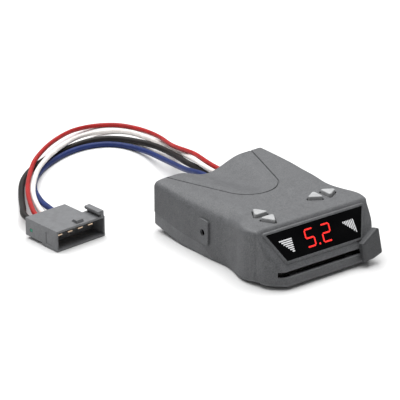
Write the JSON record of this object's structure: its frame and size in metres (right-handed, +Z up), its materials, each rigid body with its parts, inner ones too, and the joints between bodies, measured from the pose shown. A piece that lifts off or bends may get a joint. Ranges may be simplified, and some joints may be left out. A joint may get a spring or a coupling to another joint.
{
  "type": "trailer brake controller",
  "caption": "Dash-mounted brake controller with a sloped display, four push buttons, a sprung manual slide knob and a wired plug",
  "frame": {"origin": "on the flat underside of the case, on its middle plane, below the waist between the mounting pads and the front", "axes": "+Z up, -Y towards the display and the knob, +Y towards the wires, +X to the right seen from the front"},
  "size_m": [0.1835, 0.3284, 0.0409],
  "materials": {
    "case": "fine-grained moulded charcoal plastic",
    "case_lower": "fine-grained moulded charcoal plastic",
    "lens": "smoked, high gloss",
    "display": "red seven-segment face",
    "circuit_board": "green solder mask",
    "button": "light grey moulded cap",
    "plunger": "moulded",
    "knob": "satin moulded",
    "black_plastic": "moulded",
    "steel": "zinc plated",
    "plated_steel": "tin plated sheet",
    "spring_steel": "rolled strip",
    "brass": "turned and knurled",
    "aluminium": "extruded",
    "relay_blue": "moulded",
    "ribbon": "flat cable",
    "grommet": "moulded",
    "insulation_mixed": "wire insulation",
    "insulation_red": "satin wire insulation",
    "insulation_white": "satin wire insulation",
    "insulation_black": "satin wire insulation",
    "insulation_blue": "satin wire insulation",
    "plug": "moulded grey nylon",
    "blade": "tin plated brass",
    "lock_green": "moulded"
  },
  "bodies": {
    "controller": {"board_screws": "steel", "capacitors": "aluminium", "case_screws": "steel", "display_board": "circuit_board", "display_lens": "lens", "display_module": "display", "guide_rod": "steel", "heat_sink": "aluminium", "inner_leads": "insulation_mixed", "key_switches": "black_plastic", "keypad_board": "circuit_board", "keypad_screws": "steel", "lower_case": "case_lower", "main_board": "circuit_board", "microcontroller": "black_plastic", "motion_sensor": "black_plastic", "mount_inserts": "brass", "plug_blades": "blade", "plug_housing": "plug", "power_transistors": "black_plastic", "relay": "relay_blue", "return_spring": "spring_steel", "ribbon_cable": "ribbon", "slide_pot_body": "plated_steel", "spring_pin": "steel", "terminal_lock": "lock_green", "upper_case": "case", "wire_black": "insulation_black", "wire_blue": "insulation_blue", "wire_grommet": "grommet", "wire_red": "insulation_red", "wire_white": "insulation_white"},
    "manual_slide": {"manual_knob": "knob", "slider_carriage": "black_plastic"},
    "up_key": {"up_button": "button", "up_plunger": "plunger"},
    "down_key": {"down_button": "button", "down_plunger": "plunger"},
    "left_key": {"left_button": "button", "left_plunger": "plunger"},
    "right_key": {"right_button": "button", "right_plunger": "plunger"}
  },
  "joints": [
    {"name": "knob_slide", "type": "slide", "parent": "controller", "child": "manual_slide", "axis": [-1, 0, 0], "range_m": [0, 0.06], "stiffness_N_per_m": 20, "springref_m": -0.1, "deforming": ["return_spring"]},
    {"name": "up_press", "type": "slide", "parent": "controller", "child": "up_key", "axis": [0, 0, -1], "range_m": [0, 0.0008], "stiffness_N_per_m": 500, "springref_m": -0.001},
    {"name": "down_press", "type": "slide", "parent": "controller", "child": "down_key", "axis": [0, 0, -1], "range_m": [0, 0.0008], "stiffness_N_per_m": 500, "springref_m": -0.001},
    {"name": "left_press", "type": "slide", "parent": "controller", "child": "left_key", "axis": [0, 0, -1], "range_m": [0, 0.0008], "stiffness_N_per_m": 500, "springref_m": -0.001},
    {"name": "right_press", "type": "slide", "parent": "controller", "child": "right_key", "axis": [0, 0, -1], "range_m": [0, 0.0008], "stiffness_N_per_m": 500, "springref_m": -0.001}
  ]
}
